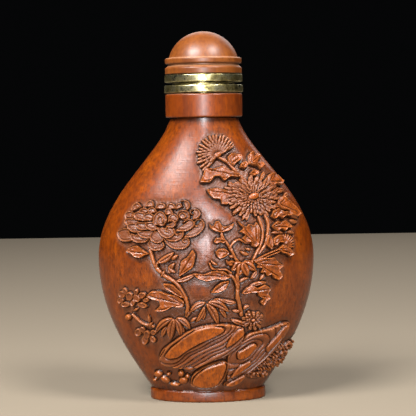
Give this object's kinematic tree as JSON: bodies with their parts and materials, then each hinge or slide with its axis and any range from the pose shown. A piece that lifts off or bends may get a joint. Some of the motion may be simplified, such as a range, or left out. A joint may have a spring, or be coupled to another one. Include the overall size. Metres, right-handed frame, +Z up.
{
  "type": "carved wooden snuff bottle",
  "caption": "Flask-shaped carved wooden snuff bottle on an oval foot, with a turned collar, brass neck rings and a domed lift-off cap.",
  "frame": {"origin": "centre of the bottle's footprint, on the surface that it stands on", "axes": "+Z up the bottle, -Y out of its carved front, +X to the right seen from the front"},
  "size_m": [0.05, 0.0306, 0.085],
  "materials": {
    "carved_wood": "stained, waxed, dark in the carving's recesses",
    "turned_wood": "turned, stained and waxed",
    "cap_wood": "turned and polished",
    "brass": "turned, worn and tarnished"
  },
  "bodies": {
    "root": {"bottle_body": "carved_wood", "neck_collar": "turned_wood", "neck_ferrule": "brass", "cap_ferrule": "brass", "cap": "cap_wood"}
  },
  "joints": []
}
